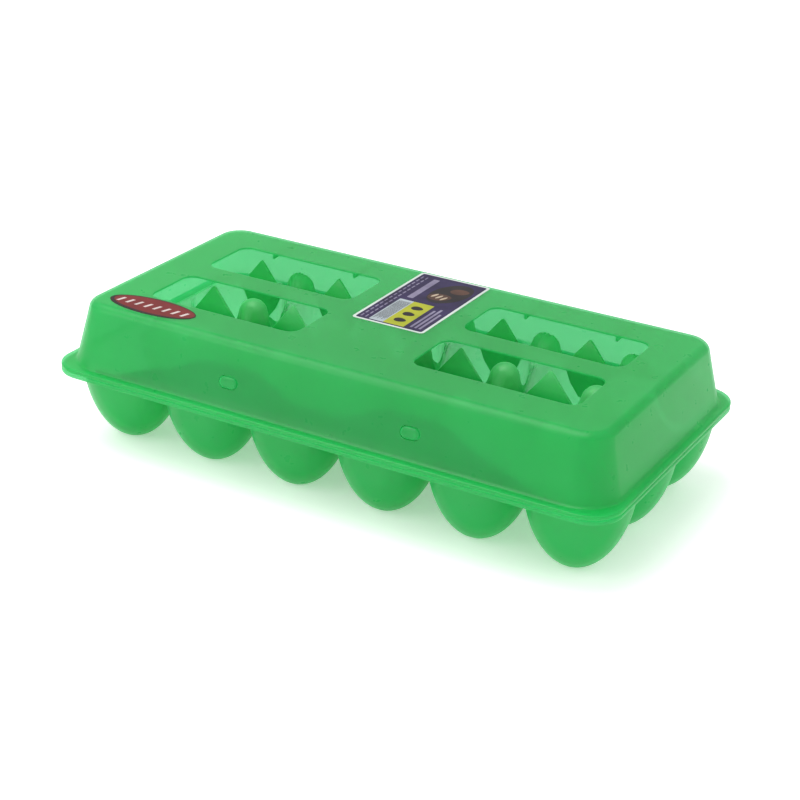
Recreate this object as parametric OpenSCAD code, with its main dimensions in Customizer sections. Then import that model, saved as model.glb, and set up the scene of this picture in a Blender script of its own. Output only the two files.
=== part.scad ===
// Hinged plastic egg carton for eighteen eggs: a tray of rounded cups, a
// windowed lid on a living hinge, and a front locking flap with two snap
// buttons. Millimetres, +Z up. The origin is on the resting surface, under the
// middle of the closed carton. The hinge is at +Y and the flap at -Y.

/* [Overall] */
// Length of the closed carton over its rims
carton_l = 298; // [290:1:330]
// Depth of the closed carton over its rims
carton_w = 158; // [156:1:180]
// Height of the closed carton
carton_h = 73.4; // [70:0.2:80]
// Wall thickness of the moulded plastic
wall = 1; // [0.8:0.1:1.2]

/* [Egg cups] */
// Cups along the length
columns = 6; // [6:2:6]
// Cups across the depth
rows = 3; // [3:2:3]
// Distance between cup centres along the length
col_pitch = 48.5; // [47:0.1:49]
// Distance between cup centres across the depth
row_pitch = 46; // [45:0.1:47]
// Outside radius of a cup at its widest level
cup_r = 25.8; // [25:0.1:26.5]
// Height of a cup's widest level
cup_top = 45; // [43:0.5:47]
// How far the foot of a cup is cut flat
foot_cut = 0.8; // [0.4:0.1:1.5]
// Facets in the height of a cup's profile
cup_steps = 9; // [6:1:16]

/* [Posts and fins] */
// Height of the posts' rounded tips
post_top = 54; // [50:0.5:57]
// Outside radius of a post where it leaves the deck
post_base_r = 9.2; // [8:0.1:10]
// Radius of a post's rounded tip
post_tip_r = 7.5; // [5:0.1:8]
// Height of the pointed fins behind each row
fin_top = 56; // [50:0.5:56]
// Length of a fin at its foot
fin_l = 28; // [24:1:30]
// Thickness of a fin
fin_t = 1.4; // [1:0.1:1.6]

/* [Rims] */
// Height of the meeting plane between tray and lid
parting_z = 40.2; // [38:0.1:42]
// Thickness of each rim
rim_t = 2.1; // [1.6:0.1:2.6]
// Corner radius of the rims
rim_corner = 16; // [10:1:24]
// Clearance between parts that meet or pass
gap = 0.1; // [0.05:0.05:0.2]

/* [Lid] */
// Length of the lid's foot
lid_foot_l = 289.6; // [285:0.2:292]
// Depth of the lid's foot
lid_foot_w = 148.4; // [146:0.2:150]
// Corner radius of the lid's foot
lid_foot_corner = 19; // [14:1:24]
// How far each end wall leans in over its full height
end_lean = 7; // [4:0.5:10]
// How far each long wall leans in over its full height
side_lean = 8.4; // [5:0.2:11]
// Radius of the lid's top edge
edge_r = 3.6; // [2:0.2:5]

/* [Windows] */
// Inner end of a window from the middle of the lid
window_x0 = 31; // [28:1:34]
// Outer end of a window from the middle of the lid
window_x1 = 115; // [108:1:118]
// Inner side of a window from the middle of the lid
window_y0 = 7.5; // [6:0.5:10]
// Outer side of a window from the middle of the lid
window_y1 = 42; // [36:1:44]
// Corner radius of a window
window_corner = 6; // [3:0.5:9]
// Thickness of the ribs under the lid
rib_t = 1.2; // [0.8:0.1:2]
// Depth of the ribs under the lid
rib_h = 2.2; // [1.5:0.1:3]

/* [Locking flap] */
// Length of the flap along the front wall
flap_l = 248; // [230:1:250]
// Thickness of the flap
flap_t = 0.9; // [0.7:0.1:1.2]
// Height of the flap's low strip
flap_strip_h = 12; // [10:0.5:14]
// Height that the ears add over the strip
ear_h = 9.5; // [7:0.5:11]
// Place of the ears and their buttons from the middle
ear_x = 48.5; // [44:0.5:54]
// Height of the buttons above the resting surface
button_z = 54; // [52:0.5:56]
// Length of a snap button
button_l = 9.5; // [7:0.5:12]
// Height of a snap button
button_h = 5.5; // [4:0.5:7]
// How far a button stands out of the flap
button_out = 2.2; // [1.8:0.1:2.6]
// Clearance around a button in its slot
button_gap = 0.45; // [0.3:0.05:0.8]

/* [Hinges] */
// Thickness of the living-hinge webs
web_t = 0.4; // [0.3:0.05:0.5]
// Length of each of the lid's hinge webs
web_l = 62; // [50:1:70]
// Distance between the middles of the lid's hinge webs
web_pitch = 84; // [80:1:90]

/* [Stickers] */
// Width of the top label
label_w = 39; // [34:1:44]
// Front end of the top label
label_y0 = -9; // [-14:1:-4]
// Rear end of the top label
label_y1 = 62; // [56:0.5:62]
// Length of the oval sticker
oval_l = 49; // [44:1:52]
// Width of the oval sticker
oval_w = 18.6; // [16:0.2:20]
// Middle of the oval sticker along the length
oval_x = -104.5; // [-106:0.5:-100]
// Middle of the oval sticker across the depth
oval_y = -52.8; // [-53:0.2:-51]
// Thickness of the stickers
sticker_t = 0.15; // [0.1:0.05:0.3]

/* [Hidden] */

$fn = 48;
eps = 0.01;
plastic = [0.27, 0.74, 0.42, 0.85];

cup_xs = [for (i = [0 : columns - 1]) (i - (columns - 1) / 2) * col_pitch];
cup_ys = [for (j = [0 : rows - 1]) (j - (rows - 1) / 2) * row_pitch];
post_xs = [for (i = [1 : columns - 1]) (i - columns / 2) * col_pitch];
post_ys = [for (j = [1 : rows - 1]) (j - rows / 2) * row_pitch];
rear_post_y = rows / 2 * row_pitch;

// Fins stand in the walls of the cups, the rear ones just inside the half-posts' axes;
// each keel is one half of a fin's lower edge
fin_side_z = 39;
row_keel = [[4, 26], [9, 33.5], [11, 38.5]];
rear_keel = [[4, 24], [9, 30.5], [12, 37.5]];
rear_fin_in = 0.8;
rear_fin_y = rear_post_y - rear_fin_in;

// Rims: the webs stand behind them, inside the overall depth
web_room = 0.8;
rim_w = carton_w - web_room;
rim_y = -web_room / 2;
tray_rim_top = parting_z - gap;
lid_rim_foot = parting_z + gap;
lid_rim_top = lid_rim_foot + rim_t;

// Lid walls
wall_rise = carton_h - lid_rim_top;
wall_angle = atan(side_lean / wall_rise);
wall_across = wall / cos(wall_angle);
post_clear = 0.5;

// Front flap: its outer face lies just inside the lid's front wall
flap_clear = 0.35;
flap_foot_z = parting_z + 1.2;
flap_hinge_clear = 0.5;
flap_foot_y = -lid_foot_w / 2 + wall_across + flap_clear
    + (flap_foot_z - lid_rim_top) * tan(wall_angle);
button_rise = (button_z - flap_foot_z) / cos(wall_angle);
ear_half = 38;
ear_slope = 28;
flap_taper = 45;
flap_end_h = 1.5;
flap_step = 4;

// Rounded rectangle centred on the origin
module rounded(l, w, r) {
    square([l - 2 * r, w], center = true);
    square([l, w - 2 * r], center = true);
    for (x = [-1, 1], y = [-1, 1])
        translate([x * (l / 2 - r), y * (w / 2 - r)])
            circle(r);
}

// Slot with round ends, centred on the origin
module obround(l, h) {
    square([l - h, h], center = true);
    for (x = [-1, 1])
        translate([x * (l - h) / 2, 0])
            circle(h / 2);
}

// Half profile of a cup: an ellipse drawn in by t, cut flat at floor_z below and at top_z above
function cup_profile(t, floor_z, top_z) =
    let (
        b = cup_top + foot_cut - t,
        a0 = asin((cup_top - top_z) / b),
        a1 = asin((cup_top - floor_z) / b)
    )
    [for (i = [0 : cup_steps]) let (a = a0 + (a1 - a0) * i / cup_steps)
        [(cup_r - t) * cos(a), cup_top - b * sin(a)]];

module cup_body() {
    rotate_extrude()
        polygon(concat([[0, 0], [0, tray_rim_top]], cup_profile(0, 0, tray_rim_top)));
}

module cup_hollow() {
    rotate_extrude()
        polygon(concat([[0, wall], [0, post_top], [cup_r - wall, post_top]],
                       cup_profile(wall, wall, cup_top)));
}

// Solid inside a post's outline, drawn in by t: a cone with a round tip
module post_form(t, foot_z) {
    tip_z = post_top - post_tip_r;
    translate([0, 0, foot_z])
        cylinder(h = tip_z - foot_z, r1 = post_base_r - 2 * t, r2 = post_tip_r - t);
    translate([0, 0, tip_z])
        sphere(post_tip_r - t);
}

// Room above the deck for the lid's rear wall, with the posts' clearance before it
module behind_rear_wall() {
    function wall_y(z) = lid_foot_w / 2 - wall_across - post_clear - (z - lid_rim_top) * tan(wall_angle);
    translate([-carton_l / 2, 0, 0])
        rotate([90, 0, 90])
            linear_extrude(carton_l)
                polygon([
                    [wall_y(tray_rim_top), tray_rim_top], [carton_w, tray_rim_top],
                    [carton_w, carton_h], [wall_y(carton_h), carton_h]
                ]);
}

// Pointed fin, thin across the depth; its keel follows the walls below
module fin(keel) {
    half = [[fin_l / 2, fin_side_z], [0, fin_top], [-fin_l / 2, fin_side_z]];
    left = [for (i = [len(keel) - 1 : -1 : 0]) [-keel[i][0], keel[i][1]]];
    translate([0, fin_t / 2, 0])
        rotate([90, 0, 0])
            linear_extrude(fin_t)
                polygon(concat(half, left, keel));
}

// Tray: a deck and rim with eighteen thin cups, hollow posts between them,
// half-posts along the rear and a fin behind each cup
module tray() {
    color(plastic) {
        difference() {
            union() {
                translate([0, rim_y, tray_rim_top - rim_t])
                    linear_extrude(rim_t)
                        rounded(carton_l, rim_w, rim_corner);
                for (x = cup_xs, y = cup_ys)
                    translate([x, y, 0])
                        cup_body();
                for (x = post_xs, y = concat(post_ys, [rear_post_y]))
                    translate([x, y, 0])
                        post_form(0, tray_rim_top - eps);
            }
            for (x = cup_xs, y = cup_ys)
                translate([x, y, 0])
                    cup_hollow();
            for (x = post_xs, y = post_ys)
                translate([x, y, 0])
                    post_form(wall, tray_rim_top - rim_t - eps);
            behind_rear_wall();
        }
        for (x = cup_xs, y = post_ys)
            translate([x, y, 0])
                fin(row_keel);
        for (x = cup_xs)
            translate([x, rear_fin_y, 0])
                fin(rear_keel);
    }
}

// Solid inside the lid's outline, drawn in by t
module lid_form(t) {
    function inset(z) = (z - lid_rim_top) / wall_rise;
    levels = [
        [lid_rim_foot - (t > 0 ? 1 : 0), 0],
        [carton_h - t - edge_r, 0],
        [carton_h - t - 0.4 * edge_r, 0.13 * edge_r],
        [carton_h - t - 0.1 * edge_r, 0.5 * edge_r],
        [carton_h - t, edge_r]
    ];
    hull()
        for (level = levels)
            translate([0, 0, level[0] - eps])
                linear_extrude(eps)
                    rounded(
                        lid_foot_l - 2 * (end_lean * inset(level[0]) + level[1] + t),
                        lid_foot_w - 2 * (side_lean * inset(level[0]) + level[1] + t),
                        lid_foot_corner - 0.8 * side_lean * inset(level[0]) - level[1] - t);
}

// Places a flat shape on the plane of the lid's front wall, at the flap's foot
module on_front_wall() {
    translate([0, flap_foot_y, flap_foot_z])
        rotate([90 - wall_angle, 0, 0])
            children();
}

module window_cut() {
    translate([(window_x0 + window_x1) / 2, (window_y0 + window_y1) / 2, carton_h - 3 * wall])
        linear_extrude(6 * wall)
            rounded(window_x1 - window_x0, window_y1 - window_y0, window_corner);
}

module button_slot() {
    on_front_wall()
        translate([0, button_rise, -2 * wall])
            linear_extrude(6 * wall)
                obround(button_l + 2 * button_gap, button_h + 2 * button_gap);
}

// Ribs under the lid's top, from a window's outer side to the long wall
module lid_rib(x) {
    y1 = lid_foot_w / 2 - side_lean - edge_r;
    translate([x - rib_t / 2, window_y1, carton_h - wall - rib_h])
        cube([rib_t, y1 - window_y1, rib_h + wall / 2]);
}

// Lid: a leaning shell with a rim, four windows, eight ribs and two button slots
module lid() {
    color(plastic)
        difference() {
            union() {
                difference() {
                    union() {
                        lid_form(0);
                        translate([0, rim_y, lid_rim_foot])
                            linear_extrude(rim_t)
                                rounded(carton_l, rim_w, rim_corner);
                    }
                    lid_form(wall);
                }
                for (x = [-2, -1, 1, 2], side = [0, 1])
                    mirror([0, side, 0])
                        lid_rib(x * col_pitch);
            }
            for (sx = [0, 1], sy = [0, 1])
                mirror([sx, 0, 0])
                    mirror([0, sy, 0])
                        window_cut();
            for (x = [-ear_x, ear_x])
                translate([x, 0, 0])
                    button_slot();
        }
}

function smooth(t) = t <= 0 ? 0 : t >= 1 ? 1 : t * t * (3 - 2 * t);

function flap_height(x) =
    max(flap_end_h,
        flap_strip_h * smooth((flap_l / 2 - abs(x)) / flap_taper)
        + ear_h * smooth((ear_half - abs(abs(x) - ear_x)) / ear_slope));

// Locking flap: a low strip with two raised ears, each with a snap button
module locking_flap() {
    top = [for (x = [flap_l / 2 : -flap_step : -flap_l / 2]) [x, flap_height(x)]];
    color(plastic)
        on_front_wall() {
            translate([0, 0, -flap_t])
                linear_extrude(flap_t)
                    polygon(concat([[-flap_l / 2, 0], [flap_l / 2, 0]], top));
            for (x = [-ear_x, ear_x])
                translate([x, button_rise, -eps])
                    linear_extrude(button_out)
                        obround(button_l, button_h);
        }
}

// Lid hinge: three thin webs that loop behind the two rims
module lid_hinge() {
    y0 = carton_w / 2 - web_room;
    y1 = carton_w / 2;
    z0 = tray_rim_top - rim_t + web_t;
    z1 = lid_rim_top - web_t;
    color(plastic)
        for (i = [-1 : 1])
            translate([i * web_pitch - web_l / 2, 0, 0])
                rotate([90, 0, 90])
                    linear_extrude(web_l)
                        polygon([
                            [y0, z0], [y1, z0], [y1, z1], [y0, z1], [y0, z1 - web_t],
                            [y1 - web_t, z1 - web_t], [y1 - web_t, z0 + web_t], [y0, z0 + web_t]
                        ]);
}

// Flap hinge: a thin web from the tray's deck to the flap's foot
module flap_hinge() {
    web_y = flap_foot_y + flap_t / 2;
    color(plastic)
        translate([-flap_l / 2, web_y - web_t / 2, tray_rim_top])
            cube([flap_l, web_t, flap_foot_z - tray_rim_top - flap_hinge_clear]);
}

// Top label, stuck along the middle of the lid
module top_label() {
    color([0.28, 0.22, 0.47])
        translate([0, (label_y0 + label_y1) / 2, carton_h])
            linear_extrude(sticker_t)
                rounded(label_w, label_y1 - label_y0, 2);
}

// Oval sticker on the lid's front left
module oval_sticker() {
    color([0.7, 0.1, 0.12])
        translate([oval_x, oval_y, carton_h])
            linear_extrude(sticker_t)
                scale([oval_l / oval_w, 1])
                    circle(oval_w / 2);
}

tray();
lid();
locking_flap();
lid_hinge();
flap_hinge();
top_label();
oval_sticker();
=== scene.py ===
"""Looks of the hinged plastic egg carton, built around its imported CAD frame.

Shapes are worked out in millimetres, in the frame's own axes, and stored in metres.
"""
import math

import bmesh
import bpy
import numpy as np
from mathutils import Euler, Matrix, Vector


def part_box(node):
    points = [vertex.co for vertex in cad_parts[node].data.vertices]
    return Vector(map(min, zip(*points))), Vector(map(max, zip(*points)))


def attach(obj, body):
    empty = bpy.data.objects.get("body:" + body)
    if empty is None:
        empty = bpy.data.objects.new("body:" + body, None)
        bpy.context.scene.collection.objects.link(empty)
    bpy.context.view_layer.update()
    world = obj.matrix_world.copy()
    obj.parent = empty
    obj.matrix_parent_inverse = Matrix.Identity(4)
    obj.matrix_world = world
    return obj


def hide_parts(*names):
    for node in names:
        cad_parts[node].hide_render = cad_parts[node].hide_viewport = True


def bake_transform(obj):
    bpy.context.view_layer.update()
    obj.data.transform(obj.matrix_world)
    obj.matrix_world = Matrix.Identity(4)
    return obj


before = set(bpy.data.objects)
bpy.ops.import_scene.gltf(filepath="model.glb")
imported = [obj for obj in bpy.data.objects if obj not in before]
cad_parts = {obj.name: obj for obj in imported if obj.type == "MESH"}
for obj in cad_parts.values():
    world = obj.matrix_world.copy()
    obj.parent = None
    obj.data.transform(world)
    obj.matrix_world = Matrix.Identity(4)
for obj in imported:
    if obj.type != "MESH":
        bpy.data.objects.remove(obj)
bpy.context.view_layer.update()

# ---------------------------------------------------------------- dimensions
MM = 0.001


def node_box(node):
    """Lowest and highest corner of a CAD node, in millimetres."""
    low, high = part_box(node)
    return np.array(low) / MM, np.array(high) / MM


tray_low, tray_high = node_box("tray")
lid_low, lid_high = node_box("lid")
label_low, label_high = node_box("top_label")
oval_low, oval_high = node_box("oval_sticker")
flap_high = node_box("locking_flap")[1]
web_low, web_high = node_box("lid_hinge")
flap_web_low, flap_web_high = node_box("flap_hinge")

WALL = 1.0
RIM_T = 2.1
RIM_GAP = 0.2
RIM_CORNER = 16.0
LIP_INSET = 1.3
DECK_Z = lid_low[2] - RIM_GAP
LID_RIM_TOP = lid_low[2] + RIM_T
LID_TOP = lid_high[2]

# Section of a rim's lip as (distance in from its edge, height above its lower side)
LIP = [
    (1.3, 2.1), (0.55, 2.05), (0.15, 1.8), (0.0, 1.4), (0.0, 0.6), (0.12, 0.2),
    (0.45, 0.0), (0.8, 0.08), (1.05, 0.4), (1.3, 1.0),
]

# Egg cups
COL_PITCH = 48.5
ROW_PITCH = 46.0
COLUMNS = 6
ROWS = 3
CUP_R = 25.8
CUP_TOP = 45.0
FOOT_CUT = 0.8
CUP_XS = [(i - (COLUMNS - 1) / 2) * COL_PITCH for i in range(COLUMNS)]
CUP_YS = [(j - (ROWS - 1) / 2) * ROW_PITCH for j in range(ROWS)]
POST_XS = [(i - COLUMNS / 2) * COL_PITCH for i in range(1, COLUMNS)]
POST_YS = [(j - ROWS / 2) * ROW_PITCH for j in range(1, ROWS)]
REAR_POST_Y = ROWS / 2 * ROW_PITCH
MOUTH_FILLET = 1.2
DECK_T = 1.1
# Slope given to a cup's surface beyond its mouth, so that the deck and the posts take over there
RISE = 14.0

# Posts and fins
POST_TOP = 54.0
POST_TIP_R = 7.35
POST_SLOPE = 3.76
FIN_TOP = tray_high[2]
REAR_FIN_IN = 0.8
REAR_FIN_Y = REAR_POST_Y - REAR_FIN_IN
FIN_HALF = 14.0
FIN_T = 1.4
FIN_SIDE_Z = 39.0
FIN_CENTRE_Z = 42.0
# One sloping side of a fin, then its two kinds of keel, as (distance from its middle, height)
FIN_SIDE = [(FIN_HALF, FIN_SIDE_Z), (9.0, 45.2), (4.0, 51.6), (1.2, FIN_TOP - 0.9), (0.5, FIN_TOP - 0.2)]
ROW_KEEL = [(4.0, 26.0), (9.0, 33.5), (11.0, 38.5)]
REAR_KEEL = [(4.0, 24.0), (9.0, 30.5), (12.0, 37.5)]
# A fin's layers, as (place across its thickness, scale of its outline)
FIN_LAYERS = [(-0.5, 0.98), (-0.36, 0.992), (-0.2, 1.0), (0.2, 1.0), (0.36, 0.992), (0.5, 0.98)]
# The rear half-posts are held down near the lid's rear wall, where the tray's mesh is coarse
WALL_ROOM_Y = 71.6
WALL_ROOM_Z = 43.8
WALL_ROOM_SLOPE = 6.0

# Lid
FOOT_HALF_L = 144.8
FOOT_HALF_W = 74.2
FOOT_CORNER = 19.0
END_LEAN = 7.0
SIDE_LEAN = 8.4
CORNER_LEAN = 0.8 * SIDE_LEAN
WALL_RISE = LID_TOP - LID_RIM_TOP
WALL_ANGLE = math.atan2(SIDE_LEAN, WALL_RISE)
WALL_ACROSS = WALL / math.cos(WALL_ANGLE)
TOP_EDGE_R = 4.7
TOP_EDGE_IN = 3.6
FLAT_IN = 1.0
FOOT_FILLET = 1.6
WINDOW_CENTRE = (73.0, 24.75)
WINDOW_HALF = (42.0, 17.25)
WINDOW_CORNER = 6.0
RIB_T = 1.2
RIB_H = 2.2

# Flap
FLAP_HALF_L = flap_high[0]
FLAP_T = 0.9
# The flap's rounded edge as (distance in from its edge, depth below its face)
FLAP_EDGE = [(0.0, 0.3), (0.1, 0.1), (0.3, 0.0)]
FLAP_STRIP_H = 12.0
EAR_H = 9.5
EAR_X = 48.5
EAR_HALF = 38.0
EAR_SLOPE = 28.0
FLAP_TAPER = 45.0
FLAP_END_H = 1.5
FLAP_FOOT_Z = DECK_Z + 1.3
FLAP_CLEAR = 0.35
WALL_INNER_Y = WALL_ACROSS - FOOT_HALF_W
FLAP_FOOT_Y = WALL_INNER_Y + FLAP_CLEAR + (FLAP_FOOT_Z - LID_RIM_TOP) * math.tan(WALL_ANGLE)
BUTTON_Z = 54.0
BUTTON_L = 9.5
BUTTON_H = 5.5
BUTTON_OUT = 2.2
BUTTON_GAP = 0.45
BUTTON_RISE = (BUTTON_Z - FLAP_FOOT_Z) / math.cos(WALL_ANGLE)
# A button's dome as (distance in from its outline, distance out of the flap's face)
BUTTON_DOME = [
    (0.0, -0.3), (0.0, 1.3), (0.1, 1.7), (0.35, 2.0), (0.8, 2.17), (1.4, BUTTON_OUT), (2.2, 2.05),
]

# Hinge webs
WEB_T = 0.4
WEB_HALF_L = 31.0
WEB_PITCH = 84.0
WEB_CORNER = 0.3
WEB_ROWS = 14
FLAP_WEB_ROWS = 6
FLAP_WEB_UNDER = 0.1
FLAP_WEB_OVER = 0.5

# Sharp edges are kept above these angles between faces, in degrees
SHARP_DEG = 40.0
SOFT_SHARP_DEG = 60.0
PRINT_SHARP_DEG = 20.0


# ---------------------------------------------------------------- mesh helpers
def smooth_min(a, b, k):
    """The lower of a and b, with a rounded meeting k wide."""
    h = np.maximum(k - np.abs(a - b), 0) / k
    return np.minimum(a, b) - h * h * k / 4


def smooth_max(a, b, k):
    return -smooth_min(-a, -b, k)


class Builder:
    """Collects points in millimetres and faces, and turns them into one mesh object."""

    def __init__(self):
        self.points = []
        self.faces = []
        self.slots = []

    def add(self, points):
        """Adds points and returns the number of the first."""
        first = len(self.points)
        self.points.extend(tuple(float(c) for c in p) for p in points)
        return first

    def face(self, corners, slot=0):
        self.faces.append(tuple(corners))
        self.slots.append(slot)

    def bridge(self, a, b, n, closed=True, slot=0):
        """Quads between the loops that start at points a and b."""
        for k in range(n if closed else n - 1):
            m = (k + 1) % n
            self.face((a + k, a + m, b + m, b + k), slot)

    def loft(self, loops, slot=0):
        """Bridges a list of closed loops and returns their first points' numbers."""
        firsts = [self.add(loop) for loop in loops]
        for a, b in zip(firsts, firsts[1:]):
            self.bridge(a, b, len(loops[0]), slot=slot)
        return firsts

    def cap(self, first, n, slot=0):
        """One face over the loop of n points that starts at first."""
        self.face(range(first, first + n), slot)

    def solid(self, loops, slot=0):
        """A closed piece: lofted loops with a flat face at each end."""
        firsts = self.loft(loops, slot)
        self.cap(firsts[0], len(loops[0]), slot)
        self.cap(firsts[-1], len(loops[0]), slot)

    def build(self, name, sharp_deg=SHARP_DEG):
        """Makes the mesh object, in metres."""
        mesh = bpy.data.meshes.new(name)
        mesh.from_pydata([Vector(p) * MM for p in self.points], [], self.faces)
        mesh.polygons.foreach_set("material_index", self.slots)
        piece = bpy.data.objects.new(name, mesh)
        bpy.context.collection.objects.link(piece)
        clean(mesh, sharp_deg)
        return piece


def clean(mesh, sharp_deg):
    """Welds shared points, turns faces outward and shades smooth up to an angle."""
    work = bmesh.new()
    work.from_mesh(mesh)
    bmesh.ops.remove_doubles(work, verts=work.verts, dist=2e-6)
    bmesh.ops.recalc_face_normals(work, faces=work.faces)
    work.to_mesh(mesh)
    work.free()
    mesh.shade_smooth()
    mesh.set_sharp_from_angle(angle=math.radians(sharp_deg))


def combine(piece, tool, operation):
    """Applies a Boolean of tool to piece, then removes tool."""
    modifier = piece.modifiers.new("combine", "BOOLEAN")
    modifier.operation = operation
    modifier.solver = "EXACT"
    modifier.object = tool
    graph = bpy.context.evaluated_depsgraph_get()
    mesh = bpy.data.meshes.new_from_object(piece.evaluated_get(graph))
    piece.modifiers.clear()
    piece.data = mesh
    bpy.data.objects.remove(tool)
    clean(mesh, SHARP_DEG)


def rounded_loop(half_l, half_w, radius, z, centre=(0.0, 0.0), arc=10):
    """Points of a rounded rectangle at height z, counter-clockwise."""
    points = []
    for quarter, (sx, sy) in enumerate(((1, 1), (-1, 1), (-1, -1), (1, -1))):
        for step in range(arc + 1):
            a = math.radians(90 * (quarter + step / arc))
            x = centre[0] + sx * (half_l - radius) + radius * math.cos(a)
            y = centre[1] + sy * (half_w - radius) + radius * math.sin(a)
            points.append((x, y, z))
    return points


# ---------------------------------------------------------------- tray
def cup_distances(x, y):
    """Distance of each point to each cup's axis."""
    return [np.hypot(x - cx, y - cy) for cx in CUP_XS for cy in CUP_YS]


def ellipse_wall(d, inset):
    """Height of a cup's wall at distance d, drawn in by inset."""
    across = CUP_R - inset
    down = CUP_TOP + FOOT_CUT - inset
    return CUP_TOP - down * np.sqrt(np.clip(1 - (d / across) ** 2, 0, 1))


def wall_distance(z, inset):
    """Distance from the axis at which a cup's wall reaches height z."""
    across = CUP_R - inset
    down = CUP_TOP + FOOT_CUT - inset
    return across * math.sqrt(1 - ((CUP_TOP - z) / down) ** 2)


MOUTH_R = wall_distance(DECK_Z - MOUTH_FILLET, WALL)
UNDER_Z = DECK_Z - DECK_T
UNDER_R = wall_distance(UNDER_Z, 0)


def mouth_profile(d):
    """Upper surface of a cup: floor, wall and rounded mouth, rising steeply beyond it."""
    z = smooth_max(ellipse_wall(d, WALL), WALL, 0.8)
    across = np.clip(MOUTH_R + MOUTH_FILLET - d, 0, MOUTH_FILLET)
    fillet = DECK_Z - MOUTH_FILLET + np.sqrt(MOUTH_FILLET ** 2 - across ** 2)
    z = np.where(d > MOUTH_R, fillet, z)
    beyond = DECK_Z + RISE * (d - MOUTH_R - MOUTH_FILLET)
    return np.where(d > MOUTH_R + MOUTH_FILLET, beyond, z)


def under_profile(d):
    """Underside of a cup: flat foot and wall, rising steeply beyond the deck."""
    z = smooth_max(ellipse_wall(d, 0), 0.0, 0.5)
    return np.where(d > UNDER_R, UNDER_Z + RISE * (d - UNDER_R), z)


def post_profile(s, inset):
    """Height of a post at distance s from its axis: a cone with a round tip."""
    radius = POST_TIP_R - inset
    centre = POST_TOP - POST_TIP_R
    spread = math.hypot(1, POST_SLOPE)
    tip = centre + np.sqrt(np.clip(radius ** 2 - s ** 2, 0, None))
    cone = centre + radius * spread - POST_SLOPE * s
    return np.where(s < radius * POST_SLOPE / spread, tip, cone)


def rear_wall_room(y):
    """Height at which the room for the lid's rear wall begins."""
    front = FOOT_HALF_W - WALL_ACROSS - 0.5
    return LID_RIM_TOP + (front - y) / math.tan(WALL_ANGLE)


def posts(x, y, inset, rear):
    """Height of the nearest post, and of the half-posts at the rear."""
    z = np.full_like(x, -1e3)
    for px in POST_XS:
        for py in POST_YS:
            z = np.maximum(z, post_profile(np.hypot(x - px, y - py), inset))
        if rear:
            half_post = post_profile(np.hypot(x - px, y - REAR_POST_Y), inset)
            z = np.maximum(z, smooth_min(half_post, rear_wall_room(y), 1.5))
    return z


def add_fin(builder, x, y, keel):
    """Adds one pointed fin, with rounded edges, that stands in the walls of the cups."""
    left = [(-across, z) for across, z in reversed(FIN_SIDE)]
    outline = FIN_SIDE + [(0.0, FIN_TOP)] + left + [(-across, z) for across, z in reversed(keel)] + keel
    loops = []
    for off, scale in FIN_LAYERS:
        loops.append([
            (x + across * scale, y + off * FIN_T, FIN_CENTRE_Z + (z - FIN_CENTRE_Z) * scale)
            for across, z in outline
        ])
    builder.solid(loops)


def tray_top(x, y):
    """Height of the tray's upper side: cups cut into the deck and its posts."""
    carve = None
    for d in cup_distances(x, y):
        z = mouth_profile(d)
        carve = z if carve is None else smooth_min(carve, z, 8.0)
    body = smooth_max(posts(x, y, 0, True), DECK_Z, 2.0)
    body = np.minimum(body, WALL_ROOM_Z + WALL_ROOM_SLOPE * np.maximum(WALL_ROOM_Y - y, 0.0))
    return smooth_min(carve, body, 1.0)


def tray_under(x, y):
    """Height of the tray's under side: cups, deck and the hollows in the posts."""
    walls = None
    hollow = posts(x, y, WALL, False)
    for d in cup_distances(x, y):
        z = under_profile(d)
        walls = z if walls is None else smooth_min(walls, z, 3.0)
        hollow = np.minimum(hollow, UNDER_Z + RISE * (d - UNDER_R - 1.3))
    return np.minimum(walls, np.maximum(hollow, UNDER_Z))


EDGE_STEPS = 24


def edge_places():
    """Places along a cell's edge from 0 to 1, closer at its ends and its middle."""
    t = np.arange(EDGE_STEPS) / EDGE_STEPS
    return t - 0.045 * np.sin(4 * np.pi * t)


def cell_limits(centres, pitch, low, high):
    """Sides of the cells along one axis; the outer ones run to low and high."""
    sides = [centres[0] - pitch / 2] + [c + pitch / 2 for c in centres]
    sides[0], sides[-1] = low, high
    return list(zip(sides, sides[1:]))


def tray_cells():
    """Limits of the columns along X and of the rows along Y."""
    x_cells = cell_limits(CUP_XS, COL_PITCH, tray_low[0] + LIP_INSET, tray_high[0] - LIP_INSET)
    y_cells = cell_limits(CUP_YS, ROW_PITCH, tray_low[1] + LIP_INSET, tray_high[1] - LIP_INSET)
    return x_cells, y_cells


def side_points(start, end):
    """Points along one straight side of a cell."""
    start, end = np.array(start), np.array(end)
    return start + edge_places()[:, None] * (end - start)


def onto_corner(points, normals=None):
    """Moves points outside the rim's rounded corners onto them."""
    for sx in (-1, 1):
        for sy in (-1, 1):
            y_side = tray_low[1] if sy < 0 else tray_high[1]
            centre = np.array([sx * (tray_high[0] - RIM_CORNER), y_side - sy * RIM_CORNER])
            away = points - centre
            outside = (away[:, 0] * sx > 0) & (away[:, 1] * sy > 0)
            out = away[outside]
            direction = out / np.linalg.norm(out, axis=1)[:, None]
            on_edge = np.max(np.abs(out), axis=1) > RIM_CORNER - LIP_INSET - 1e-6
            rows = np.flatnonzero(outside)[on_edge]
            points[rows] = centre + direction[on_edge] * (RIM_CORNER - LIP_INSET)
            if normals is not None:
                normals[rows] = direction[on_edge]
    return points


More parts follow.
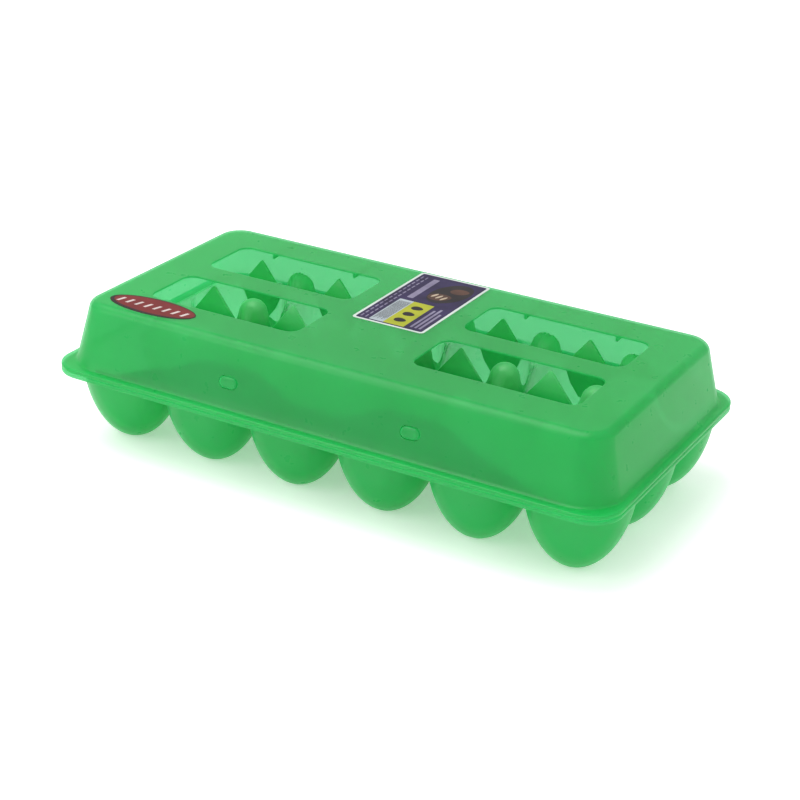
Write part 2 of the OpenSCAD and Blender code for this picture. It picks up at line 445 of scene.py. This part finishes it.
def tray_surface(builder, height, wall_rings, rim_rings, mouth_r):
    """Adds one side of the tray, cell by cell, as rings from each cup's axis to its cell's edge."""
    x_cells, y_cells = tray_cells()
    n = 4 * EDGE_STEPS
    for cx, (x0, x1) in zip(CUP_XS, x_cells):
        for cy, (y0, y1) in zip(CUP_YS, y_cells):
            corners = [(x0, y0), (x1, y0), (x1, y1), (x0, y1)]
            edge = np.vstack([side_points(a, b) for a, b in zip(corners, corners[1:] + corners[:1])])
            edge = onto_corner(edge)
            ray = edge - (cx, cy)
            reach = np.linalg.norm(ray, axis=1)
            ray /= reach[:, None]
            knee = np.minimum(mouth_r, 0.93 * reach)
            radii = [knee * math.sin(math.pi / 2 * k / wall_rings) for k in range(1, wall_rings + 1)]
            radii += [knee + (reach - knee) * (k / rim_rings) ** 1.4 for k in range(1, rim_rings + 1)]
            middle = np.array([cx]), np.array([cy])
            centre = builder.add([(cx, cy, height(*middle)[0])])
            last = None
            for radius in radii:
                x, y = cx + ray[:, 0] * radius, cy + ray[:, 1] * radius
                first = builder.add(zip(x, y, height(x, y)))
                if last is None:
                    for k in range(n):
                        builder.face((centre, first + k, first + (k + 1) % n))
                else:
                    builder.bridge(last, first, n)
                last = first


def rim_path():
    """Points and outward directions round the tray's edge, where the lip begins."""
    x_cells, y_cells = tray_cells()
    x_low, x_high = x_cells[0][0], x_cells[-1][1]
    y_low, y_high = y_cells[0][0], y_cells[-1][1]
    sides = [((a, y_low), (b, y_low), (0, -1)) for a, b in x_cells]
    sides += [((x_high, a), (x_high, b), (1, 0)) for a, b in y_cells]
    sides += [((b, y_high), (a, y_high), (0, 1)) for a, b in reversed(x_cells)]
    sides += [((x_low, b), (x_low, a), (-1, 0)) for a, b in reversed(y_cells)]
    points = np.vstack([side_points(a, b) for a, b, _ in sides])
    normals = np.vstack([np.tile(np.array(n, float), (EDGE_STEPS, 1)) for _, _, n in sides])
    onto_corner(points, normals)
    return points, normals


def make_tray():
    """The tray's two sides, its rolled lip and its fins, as one mesh."""
    builder = Builder()
    tray_surface(builder, tray_top, 15, 13, MOUTH_R)
    tray_surface(builder, tray_under, 16, 8, UNDER_R)
    points, normals = rim_path()
    low = DECK_Z - RIM_T
    loops = []
    for inset, rise in LIP:
        at = points + normals * (LIP_INSET - inset)
        loops.append([(x, y, low + rise) for x, y in at])
    builder.loft(loops)
    for x in CUP_XS:
        for y in POST_YS:
            add_fin(builder, x, y, ROW_KEEL)
        add_fin(builder, x, REAR_FIN_Y, REAR_KEEL)
    return builder.build("egg_tray", SOFT_SHARP_DEG)


# ---------------------------------------------------------------- lid
def wall_loop(z, out=0.0):
    """Outline of the lid's wall at height z, moved outward by out."""
    rise = (z - LID_RIM_TOP) / WALL_RISE
    return rounded_loop(
        FOOT_HALF_L - END_LEAN * rise + out,
        FOOT_HALF_W - SIDE_LEAN * rise + out,
        FOOT_CORNER - CORNER_LEAN * rise + out, z)


def top_edge_loops(radius, steps=8):
    """Loops round the lid's top edge, from the flat top down to the wall."""
    inward = TOP_EDGE_R * math.tan((math.pi / 2 - WALL_ANGLE) / 2)
    loops = []
    for k in range(steps + 1):
        a = math.pi / 2 + (WALL_ANGLE - math.pi / 2) * k / steps
        inset = inward - radius * math.cos(a)
        z = LID_TOP - TOP_EDGE_R + radius * math.sin(a)
        loops.append(rounded_loop(
            FOOT_HALF_L - END_LEAN - inset, FOOT_HALF_W - SIDE_LEAN - inset,
            FOOT_CORNER - CORNER_LEAN - inset, z))
    return loops


def flange_loop(inset, z):
    """Outline of the lid's lip at height z, drawn in by inset."""
    middle = (tray_low[1] + tray_high[1]) / 2
    half_w = (tray_high[1] - tray_low[1]) / 2
    return rounded_loop(tray_high[0] - inset, half_w - inset, RIM_CORNER - inset, z, (0.0, middle))


def lid_shell_loops():
    """All loops of the lid's shell from the flat top, down outside, round the lip and up inside."""
    flat = top_edge_loops(TOP_EDGE_R, 8)
    inset = TOP_EDGE_IN + FLAT_IN
    start = FOOT_HALF_L - END_LEAN - inset, FOOT_HALF_W - SIDE_LEAN - inset
    corner = FOOT_CORNER - CORNER_LEAN - inset
    loops = [rounded_loop(*start, corner, LID_TOP)] + flat
    wall_top = LID_TOP - TOP_EDGE_R + TOP_EDGE_R * math.sin(WALL_ANGLE)
    wall_foot = LID_RIM_TOP + FOOT_FILLET
    loops += [wall_loop(wall_top + (wall_foot - wall_top) * k / 5) for k in range(1, 5)]
    for k in range(5):
        a = math.radians(78 - 78 * k / 4)
        out = FOOT_FILLET * (1 - math.sin(a))
        loops.append(wall_loop(LID_RIM_TOP + FOOT_FILLET * (1 - math.cos(a)), out))
    loops += [flange_loop(inward, lid_low[2] + rise) for inward, rise in LIP]
    inner_foot = lid_low[2] + 1.0
    loops += [wall_loop(inner_foot, -WALL + 0.8), wall_loop(inner_foot + 0.3, -WALL + 0.25)]
    inner_top = LID_TOP - TOP_EDGE_R + (TOP_EDGE_R - WALL) * math.sin(WALL_ANGLE)
    start_z = inner_foot + 0.8
    loops += [wall_loop(start_z + (inner_top - start_z) * k / 5, -WALL_ACROSS) for k in range(5)]
    loops += top_edge_loops(TOP_EDGE_R - WALL, 8)[::-1]
    loops += [rounded_loop(*start, corner, LID_TOP - WALL)]
    return loops


# Section of a window's cut edge as (distance out from the opening, depth below the top)
WINDOW_EDGE = [
    (1.0, 0.0), (0.38, 0.0), (0.12, 0.08), (0.0, 0.3),
    (0.0, 0.7), (0.12, 0.92), (0.38, 1.0), (1.0, 1.0),
]


def window_loops(sx, sy):
    """Loops down the cut edge of one window."""
    centre = (sx * WINDOW_CENTRE[0], sy * WINDOW_CENTRE[1])
    return [
        rounded_loop(WINDOW_HALF[0] + g, WINDOW_HALF[1] + g, WINDOW_CORNER + g, LID_TOP - d, centre)
        for g, d in WINDOW_EDGE
    ]


def fill_plane(mesh, z):
    """Fills the flat area at height z between the open loops that lie on it."""
    work = bmesh.new()
    work.from_mesh(mesh)
    edges = [
        e for e in work.edges
        if e.is_boundary and all(abs(v.co.z - z * MM) < 1e-6 for v in e.verts)
    ]
    bmesh.ops.triangle_fill(work, use_beauty=True, edges=edges, normal=(0, 0, 1))
    work.to_mesh(mesh)
    work.free()


def make_ribs():
    """Short ribs under the lid's top, from the windows' outer sides to the long walls."""
    builder = Builder()
    y0 = WINDOW_CENTRE[1] + WINDOW_HALF[1]
    y1 = FOOT_HALF_W - SIDE_LEAN - TOP_EDGE_IN
    low = LID_TOP - WALL - RIB_H
    half = RIB_T / 2
    section = [(-half, low + 2.7), (-half, low + 0.3), (-half + 0.3, low), (half - 0.3, low),
               (half, low + 0.3), (half, low + 2.7)]
    for x in (-2 * COL_PITCH, -COL_PITCH, COL_PITCH, 2 * COL_PITCH):
        for side in (-1, 1):
            builder.solid([[(x + across, side * y, z) for across, z in section] for y in (y0, y1)])
    return builder.build("ribs")


def on_front_wall(x, s, out):
    """A point on the plane of the flap's outer face: along, up the wall, and out of it."""
    tilt = math.pi / 2 - WALL_ANGLE
    y = FLAP_FOOT_Y + s * math.cos(tilt) - out * math.sin(tilt)
    z = FLAP_FOOT_Z + s * math.sin(tilt) + out * math.cos(tilt)
    return (x, y, z)


def slot_loop(x, length, height, out, arc=10):
    """Slot shape with round ends on the front wall."""
    points = []
    for side in (1, -1):
        for k in range(arc + 1):
            a = math.radians(-90 + 180 * k / arc) + (0 if side > 0 else math.pi)
            along = side * (length - height) / 2 + height / 2 * math.cos(a)
            points.append(on_front_wall(x + along, BUTTON_RISE + height / 2 * math.sin(a), out))
    return points


def make_lid():
    """The lid's shell with its windows, ribs and the two slots for the buttons."""
    builder = Builder()
    builder.loft(lid_shell_loops())
    for sx in (-1, 1):
        for sy in (-1, 1):
            builder.loft(window_loops(sx, sy))
    lid = builder.build("lid_shell")
    fill_plane(lid.data, LID_TOP)
    fill_plane(lid.data, LID_TOP - WALL)
    clean(lid.data, SHARP_DEG)
    combine(lid, make_ribs(), "UNION")
    slots = Builder()
    for x in (-EAR_X, EAR_X):
        grow = 2 * BUTTON_GAP
        slots.solid([slot_loop(x, BUTTON_L + grow, BUTTON_H + grow, out) for out in (-0.2, 3.0)])
    combine(lid, slots.build("slots"), "DIFFERENCE")
    return lid


# ---------------------------------------------------------------- flap and hinges
def smooth_step(t):
    """A soft step from 0 to 1, as t goes from 0 to 1."""
    t = min(max(t, 0.0), 1.0)
    return t * t * (3 - 2 * t)


def flap_height(x):
    """Height of the flap's panel at x: a low strip with two ears."""
    strip = FLAP_STRIP_H * smooth_step((FLAP_HALF_L - abs(x)) / FLAP_TAPER)
    ear = EAR_H * smooth_step((EAR_HALF - abs(abs(x) - EAR_X)) / EAR_SLOPE)
    return max(FLAP_END_H, strip + ear)


def flap_section(height):
    """Section of the flap as (distance up the wall, distance out of its face)."""
    foot = [(s, -depth) for s, depth in FLAP_EDGE]
    top = [(height - s, -depth) for s, depth in reversed(FLAP_EDGE)]
    face = foot + [(height / 3, 0.0), (height / 1.5, 0.0)] + top
    return face + [(s, -FLAP_T - out) for s, out in reversed(face)]


def make_flap():
    """A thin panel with two raised ears, and a domed snap button on each ear."""
    builder = Builder()
    loops = []
    columns = 124
    for k in range(columns + 1):
        x = FLAP_HALF_L * (2 * k / columns - 1)
        loops.append([on_front_wall(x, s, out) for s, out in flap_section(flap_height(x))])
    builder.solid(loops)
    flap = builder.build("front_flap")
    buttons = Builder()
    for x in (-EAR_X, EAR_X):
        buttons.solid([slot_loop(x, BUTTON_L - 2 * g, BUTTON_H - 2 * g, out) for g, out in BUTTON_DOME])
    combine(flap, buttons.build("buttons"), "UNION")
    # The faces in front of the panel are the buttons'
    foot = Vector(on_front_wall(0, 0, 0)) * MM
    outward = (Vector(on_front_wall(0, 0, 1)) * MM - foot).normalized()
    for face in flap.data.polygons:
        if (face.center - foot).dot(outward) > 0.2 * MM:
            face.material_index = 1
    return flap


def upright(y, z_from, z_to):
    """Points of a web's upright stretch at y."""
    return [(y, z_from + (z_to - z_from) * k / WEB_ROWS) for k in range(WEB_ROWS + 1)]


def make_lid_webs():
    """Three thin webs that loop behind the two rims."""
    builder = Builder()
    y0, y1 = web_low[1], web_high[1]
    z0, z1 = web_low[2], web_high[2]
    t = WEB_T
    outer = [(y0, z0), (y1 - WEB_CORNER, z0)] + upright(y1, z0 + 0.25, z1 - 0.25)
    outer += [(y1 - WEB_CORNER, z1), (y0, z1)]
    inner = [(y0, z1 - t), (y1 - t - 0.05, z1 - t)] + upright(y1 - t, z1 - t - 0.1, z0 + t + 0.1)
    inner += [(y1 - t - 0.05, z0 + t), (y0, z0 + t)]
    section = outer + inner
    n = len(section)
    for i in (-1, 0, 1):
        start, end = i * WEB_PITCH - WEB_HALF_L, i * WEB_PITCH + WEB_HALF_L
        firsts = [builder.add([(x, y, z) for y, z in section]) for x in (start, start + 0.5, end - 0.5, end)]
        for a, b in zip(firsts, firsts[1:]):
            builder.bridge(a, b, n)
        for first in (firsts[0], firsts[-1]):
            for k in range(len(outer) - 1):
                builder.face((first + k, first + k + 1, first + n - 2 - k, first + n - 1 - k))
    return builder.build("lid_hinge_webs", SOFT_SHARP_DEG)


def make_flap_web():
    """The thin web from the deck to the flap's foot."""
    builder = Builder()
    low, high = flap_web_low, flap_web_high
    z_low, z_top = low[2] - FLAP_WEB_UNDER, high[2] + FLAP_WEB_OVER
    loops = []
    for k in range(FLAP_WEB_ROWS + 1):
        z = z_low + (z_top - z_low) * k / FLAP_WEB_ROWS
        corners = ((low[0], low[1]), (high[0], low[1]), (high[0], high[1]), (low[0], high[1]))
        loops.append([(x, y, z) for x, y in corners])
    builder.solid(loops)
    return builder.build("flap_hinge_web", SOFT_SHARP_DEG)


# ---------------------------------------------------------------- stickers
# Height of each printed layer above the last
LAYER = 0.012


class Print:
    """A sticker: a base film and printed shapes, each a thin closed layer above the last."""

    def __init__(self, low, high):
        self.builder = Builder()
        self.base = low[2]
        self.film = (high[2] - low[2]) * 0.55
        self.origin = low[:2]
        self.size = high[:2] - low[:2]

    def shape(self, outline, layer, slot):
        """Adds an outline in millimetres; layer 0 is the film."""
        bottom = self.base + (0.0 if layer == 0 else self.film * 0.6)
        top = self.base + self.film + layer * LAYER
        self.builder.solid([[(x, y, z) for x, y in outline] for z in (bottom, top)], slot)

    def at(self, u, v):
        """Place on the sticker, from 0 to 1 along each side."""
        return self.origin[0] + u * self.size[0], self.origin[1] + v * self.size[1]

    def block(self, u0, v0, u1, v1, layer, slot, corner=0.4):
        """A rounded rectangle between two places."""
        x0, y0 = self.at(u0, v0)
        x1, y1 = self.at(u1, v1)
        centre = (x0 + x1) / 2, (y0 + y1) / 2
        loop = rounded_loop((x1 - x0) / 2, (y1 - y0) / 2, corner, 0.0, centre, arc=4)
        self.shape([p[:2] for p in loop], layer, slot)

    def ellipse(self, u, v, half_l, half_w, layer, slot, turn=0.0, egg=0.0, steps=40):
        """An ellipse, or with egg above 0 an egg that narrows towards its own +X."""
        x, y = self.at(u, v)
        outline = []
        for k in range(steps):
            a = 2 * math.pi * k / steps
            along, across = half_l * math.cos(a), half_w * math.sin(a) * (1 - egg * math.cos(a))
            outline.append((x + along * math.cos(turn) - across * math.sin(turn),
                            y + along * math.sin(turn) + across * math.cos(turn)))
        self.shape(outline, layer, slot)


def make_label():
    """Rectangular label with a generic print: panels, lines and plain eggs."""
    label = Print(label_low, label_high)
    white, navy, grey, yellow, dark, line, brown, cream = range(8)
    label.block(0.0, 0.0, 1.0, 1.0, 0, white, 2.0)
    label.block(0.035, 0.02, 0.965, 0.98, 1, navy, 1.2)
    label.block(0.21, 0.035, 0.41, 0.47, 2, grey)
    label.block(0.41, 0.035, 0.70, 0.47, 2, yellow)
    label.block(0.25, 0.52, 0.335, 0.92, 2, line)
    for k in range(9):
        u = 0.235 + 0.0185 * k
        label.block(u, 0.07 + 0.02 * (k % 3), u + 0.007, 0.44, 3, dark, 0.1)
    for k in range(3):
        label.ellipse(0.555, 0.13 + 0.12 * k, 3.1, 2.4, 3, dark, 0.0, 0.2)
    for u in (0.075, 0.14):
        for k in range(14):
            v = 0.05 + 0.064 * k
            label.block(u, v, u + 0.02, v + 0.045, 2, line, 0.25)
    for k, (u, length) in enumerate(((0.76, 0.34), (0.82, 0.38), (0.88, 0.30))):
        label.block(u, 0.06, u + 0.032, 0.06 + length, 2, line, 0.3)
    label.ellipse(0.67, 0.73, 9.0, 14.5, 2, dark, -0.25)
    label.ellipse(0.60, 0.64, 6.0, 4.4, 3, brown, 0.35, 0.1)
    label.ellipse(0.74, 0.80, 4.8, 3.6, 3, brown, 0.35, 0.1)
    for k in range(3):
        label.ellipse(0.52 + 0.075 * k, 0.655 - 0.012 * k, 2.7, 0.75, 4, cream, 1.25)
    return label.builder.build("printed_label", PRINT_SHARP_DEG)


def make_oval():
    """Oval sticker with a dark edge, a red field and a row of slanted bars."""
    oval = Print(oval_low, oval_high)
    dark, red, white = range(3)
    half = oval.size / 2
    oval.ellipse(0.5, 0.5, half[0], half[1], 0, dark, steps=72)
    oval.ellipse(0.51, 0.53, half[0] - 1.4, half[1] - 1.4, 1, red, steps=72)
    count = 8
    for k in range(count):
        x, y = oval.at(0.12 + 0.76 * k / (count - 1), 0.5)
        bar = [(x - 1.5, y - 2.4), (x + 0.1, y - 2.4), (x + 1.5, y + 2.4), (x - 0.1, y + 2.4)]
        oval.shape(bar, 2, white)
    return oval.builder.build("oval_badge", PRINT_SHARP_DEG)


# ---------------------------------------------------------------- materials
# The plastic's surface between its two clouds, the light that glows through it, the tint of what is seen
# through it, and the paler green of a painted highlight on the posts and fins
GREEN_LOW = (0.018, 0.480, 0.120)
GREEN_HIGH = (0.026, 0.540, 0.150)
GLOW_GREEN = (0.085, 0.80, 0.33)
CLEAR_GREEN = (0.62, 0.88, 0.72, 1)
PAINTED_HIGHLIGHT_GREEN = (0.30, 0.85, 0.42, 1)
# Heights above the deck over which the painted highlight fades in
PAINTED_HIGHLIGHT_FROM = 1.0
PAINTED_HIGHLIGHT_TO = 6.0
GLOW_SHARE = 0.6
# Painted shade on the flap behind the front wall and painted light on the buttons: deeper and paler copies
# of the plastic
FLAP_PAINTED_SHADE = 0.6
BUTTON_PAINTED_LIGHT = 1.15
# Shares by angle, as (0 face on to 1 grazing, share)
SHEEN = [(0.0, 0.02), (0.46, 0.025), (0.61, 0.055), (0.76, 0.09), (0.92, 0.14), (1.0, 0.2)]
CLEARNESS = [(0.0, 0.42), (0.66, 0.42), (0.82, 0.26), (0.93, 0.08), (1.0, 0.0)]


def grey(value):
    return (value, value, value, 1)


def shade(colour, depth):
    """A colour made deeper (below 1) or paler (above 1)."""
    return (*(c * depth for c in colour), 1)


def new_material(name):
    """An empty material and its node tree."""
    material = bpy.data.materials.new(name)
    material.use_nodes = True
    tree = material.node_tree
    tree.nodes.clear()
    return material, tree


def add_node(tree, kind, settings=None, **inputs):
    """Adds a node with some of its settings and input values."""
    node = tree.nodes.new(kind)
    for key, value in (settings or {}).items():
        setattr(node, key, value)
    for key, value in inputs.items():
        node.inputs[key.replace("_", " ")].default_value = value
    return node


def noise(tree, scale, detail=3.0):
    """Noise in the piece's own space, from 0 to 1."""
    coords = add_node(tree, "ShaderNodeTexCoord")
    node = add_node(tree, "ShaderNodeTexNoise", Scale=scale, Detail=detail)
    tree.links.new(coords.outputs["Object"], node.inputs["Vector"])
    return node.outputs["Fac"]


def ramp(tree, factor, low, high):
    """Turns noise into a colour between low and high."""
    node = add_node(tree, "ShaderNodeValToRGB")
    first, last = node.color_ramp.elements
    first.position, last.position = 0.3, 0.7
    first.color, last.color = low, high
    tree.links.new(factor, node.inputs["Fac"])
    return node.outputs["Color"]


def bump(tree, height, strength):
    """Slight unevenness that follows a height."""
    node = add_node(tree, "ShaderNodeBump", Strength=strength, Distance=0.6 * MM)
    tree.links.new(height, node.inputs["Height"])
    return node.outputs["Normal"]


def paint_highlight_above_deck(tree, colour):
    """Mixes a paler green, a painted highlight, into a colour from the deck up to the tops of the posts."""
    coords = add_node(tree, "ShaderNodeTexCoord")
    split = add_node(tree, "ShaderNodeSeparateXYZ")
    tree.links.new(coords.outputs["Object"], split.inputs[0])
    height = add_node(tree, "ShaderNodeMapRange")
    height.inputs["From Min"].default_value = (DECK_Z + PAINTED_HIGHLIGHT_FROM) * MM
    height.inputs["From Max"].default_value = (DECK_Z + PAINTED_HIGHLIGHT_TO) * MM
    tree.links.new(split.outputs["Z"], height.inputs["Value"])
    mix = add_node(tree, "ShaderNodeMix", {"data_type": "RGBA"})
    tree.links.new(height.outputs["Result"], mix.inputs["Factor"])
    tree.links.new(colour, mix.inputs["A"])
    mix.inputs["B"].default_value = PAINTED_HIGHLIGHT_GREEN
    return mix.outputs["Result"]


def share_by_angle(tree, curve):
    """A share that follows a curve from surfaces seen face on to grazing ones."""
    facing = add_node(tree, "ShaderNodeLayerWeight", Blend=0.5)
    node = add_node(tree, "ShaderNodeValToRGB")
    stops = node.color_ramp.elements
    for place, _ in curve[1:-1]:
        stops.new(place)
    for stop, (place, share) in zip(stops, curve):
        stop.position = place
        stop.color = grey(share)
    tree.links.new(facing.outputs["Facing"], node.inputs["Fac"])
    return node.outputs["Color"]


def mix_shaders(tree, share, first, second):
    """Mixes two shaders; share, a number or an output, is the part of the second."""
    node = add_node(tree, "ShaderNodeMixShader")
    if isinstance(share, float):
        node.inputs["Fac"].default_value = share
    else:
        tree.links.new(share, node.inputs["Fac"])
    tree.links.new(first, node.inputs[1])
    tree.links.new(second, node.inputs[2])
    return node.outputs[0]


def set_surface(tree, shader):
    output = add_node(tree, "ShaderNodeOutputMaterial")
    tree.links.new(shader, output.inputs["Surface"])


def plastic_material(name, with_painted_highlight=False, depth=1.0):
    """Translucent satin polypropylene: it reflects, glows through, and lets some light straight past.

    Optionally, parts above the deck are painted paler: a painted highlight on the posts and fins.
    With depth below 1 the green is deeper, a painted shade, and above 1 it is paler, a painted light.
    """
    material, tree = new_material(name)
    body = add_node(tree, "ShaderNodeBsdfPrincipled")
    body.inputs["Specular IOR Level"].default_value = 0.1
    tint = ramp(tree, noise(tree, 22.0), shade(GREEN_LOW, depth), shade(GREEN_HIGH, depth))
    # Painted highlight: the green is painted paler above the deck, where the posts and fins catch the light
    if with_painted_highlight:
        tint = paint_highlight_above_deck(tree, tint)
    tree.links.new(tint, body.inputs["Base Color"])
    gloss = ramp(tree, noise(tree, 140.0, 4.0), grey(0.27), grey(0.35))
    tree.links.new(gloss, body.inputs["Roughness"])
    skin = bump(tree, noise(tree, 30.0, 1.0), 0.025)
    tree.links.new(skin, body.inputs["Normal"])
    glow = add_node(tree, "ShaderNodeBsdfTranslucent", Color=shade(GLOW_GREEN, depth))
    clear = add_node(tree, "ShaderNodeBsdfTransparent", Color=CLEAR_GREEN)
    shine = add_node(tree, "ShaderNodeBsdfGlossy", Color=grey(1))
    tree.links.new(gloss, shine.inputs["Roughness"])
    tree.links.new(skin, shine.inputs["Normal"])
    lit = mix_shaders(tree, GLOW_SHARE, body.outputs[0], glow.outputs[0])
    through = mix_shaders(tree, share_by_angle(tree, CLEARNESS), lit, clear.outputs[0])
    set_surface(tree, mix_shaders(tree, share_by_angle(tree, SHEEN), through, shine.outputs[0]))
    return material


def ink_material(name, low, high):
    """Satin printed film with a slight mottle in its ink."""
    material, tree = new_material(name)
    body = add_node(tree, "ShaderNodeBsdfPrincipled", Roughness=0.45)
    body.inputs["Specular IOR Level"].default_value = 0.15
    mottle = ramp(tree, noise(tree, 90.0, 4.0), (*low, 1), (*high, 1))
    tree.links.new(mottle, body.inputs["Base Color"])
    creases = bump(tree, noise(tree, 60.0, 2.0), 0.08)
    tree.links.new(creases, body.inputs["Normal"])
    set_surface(tree, body.outputs[0])
    return material


def dress(piece, materials, slot, body, *nodes):
    """Gives a piece its materials, its place in the frame and the CAD nodes it stands for."""
    for material in materials:
        piece.data.materials.append(material)
    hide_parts(*nodes)
    if body:
        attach(piece, body)


# ---------------------------------------------------------------- stage
def make_stage():
    """A pale floor that glows a little, so that it comes out nearly white."""
    bpy.ops.mesh.primitive_plane_add(size=12.0)
    floor = bpy.context.object
    floor.name = "studio_floor"
    material, tree = new_material("pale_floor")
    paper = add_node(tree, "ShaderNodeBsdfPrincipled", Roughness=0.9)
    paper.inputs["Specular IOR Level"].default_value = 0.1
    paper.inputs["Emission Color"].default_value = grey(1)
    paper.inputs["Emission Strength"].default_value = 0.28
    fibre = ramp(tree, noise(tree, 3.0), grey(0.93), grey(0.95))
    tree.links.new(fibre, paper.inputs["Base Color"])
    set_surface(tree, paper.outputs[0])
    floor.data.materials.append(material)


def area_light(name, place, size, power):
    """A rectangular softbox that faces the carton."""
    light = bpy.data.lights.new(name, "AREA")
    light.shape = "RECTANGLE"
    light.size, light.size_y = size
    light.energy = power
    lamp = bpy.data.objects.new(name, light)
    lamp.location = place
    aim = Vector((0, 0, 0.04)) - Vector(place)
    lamp.rotation_euler = aim.to_track_quat("-Z", "Y").to_euler()
    bpy.context.collection.objects.link(lamp)


def make_lights():
    """Two softboxes and an even white surround."""
    area_light("overhead_softbox", (-0.35, -0.2, 1.3), (1.2, 1.2), 12.0)
    area_light("front_left_softbox", (-0.75, -1.1, 0.75), (0.7, 0.9), 4.0)
    world = bpy.data.worlds.new("studio")
    bpy.context.scene.world = world
    world.use_nodes = True
    background = world.node_tree.nodes["Background"]
    background.inputs["Color"].default_value = grey(1)
    background.inputs["Strength"].default_value = 0.9


# Camera's place in metres, its direction in degrees and its lens in millimetres
CAMERA_AT = (0.40907, -0.73815, 0.42097)
CAMERA_AZIMUTH = 28.76
CAMERA_ELEVATION = 24.81
CAMERA_ROLL = 2.14
CAMERA_LENS = 85.69


def make_camera():
    """The product view, from the front right and a little above."""
    camera = bpy.data.objects.new("camera", bpy.data.cameras.new("camera"))
    camera.data.lens = CAMERA_LENS
    camera.data.sensor_width = 36.0
    tilt = math.radians(90 - CAMERA_ELEVATION)
    turn = Euler((tilt, 0, math.radians(CAMERA_AZIMUTH)), "XYZ").to_matrix()
    turn = turn @ Matrix.Rotation(math.radians(CAMERA_ROLL), 3, "Z")
    camera.matrix_world = Matrix.Translation(CAMERA_AT) @ turn.to_4x4()
    bpy.context.collection.objects.link(camera)
    bpy.context.scene.camera = camera
    bpy.context.scene.view_settings.view_transform = "Standard"


# ---------------------------------------------------------------- assembly
make_camera()
make_lights()
make_stage()

PLASTIC_SLOT = "translucent_green_plastic"
plastic = plastic_material("green_polypropylene")
# The tray's plastic has a painted highlight: a paler green above the deck
tray_plastic = plastic_material("green_polypropylene_tray_painted_highlight", with_painted_highlight=True)
# The flap's copy is painted deeper as painted shade, the buttons' copy paler as painted light
flap_plastic = plastic_material("green_polypropylene_flap_painted_shade", depth=FLAP_PAINTED_SHADE)
button_plastic = plastic_material("green_polypropylene_buttons_painted_light", depth=BUTTON_PAINTED_LIGHT)
dress(make_tray(), [tray_plastic], PLASTIC_SLOT, "tray", "tray")
dress(make_lid(), [plastic], PLASTIC_SLOT, "lid", "lid")
dress(make_flap(), [flap_plastic, button_plastic], PLASTIC_SLOT, "locking_flap", "locking_flap")

lid_webs = make_lid_webs()
dress(lid_webs, [plastic], PLASTIC_SLOT, None, "lid_hinge")
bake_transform(lid_webs)

flap_web = make_flap_web()
dress(flap_web, [plastic], PLASTIC_SLOT, None, "flap_hinge")
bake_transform(flap_web)

label_inks = [
    ink_material("label_white", (0.44, 0.50, 0.47), (0.54, 0.59, 0.56)),
    ink_material("label_navy", (0.008, 0.004, 0.026), (0.024, 0.014, 0.066)),
    ink_material("label_grey", (0.24, 0.28, 0.30), (0.36, 0.41, 0.44)),
    ink_material("label_yellow", (0.27, 0.30, 0.010), (0.37, 0.38, 0.02)),
    ink_material("label_dark", (0.006, 0.004, 0.006), (0.016, 0.011, 0.012)),
    ink_material("label_line", (0.12, 0.10, 0.17), (0.23, 0.21, 0.30)),
    ink_material("label_brown", (0.035, 0.016, 0.011), (0.085, 0.038, 0.024)),
    ink_material("label_cream", (0.30, 0.24, 0.17), (0.44, 0.36, 0.26)),
]
dress(make_label(), label_inks, "printed_label", "lid", "top_label")

badge_inks = [
    ink_material("badge_dark", (0.012, 0.006, 0.006), (0.028, 0.014, 0.012)),
    ink_material("badge_red", (0.125, 0.008, 0.008), (0.170, 0.014, 0.014)),
    ink_material("badge_white", (0.46, 0.40, 0.38), (0.58, 0.50, 0.48)),
]
dress(make_oval(), badge_inks, "red_sticker", "lid", "oval_sticker")

bpy.context.view_layer.update()
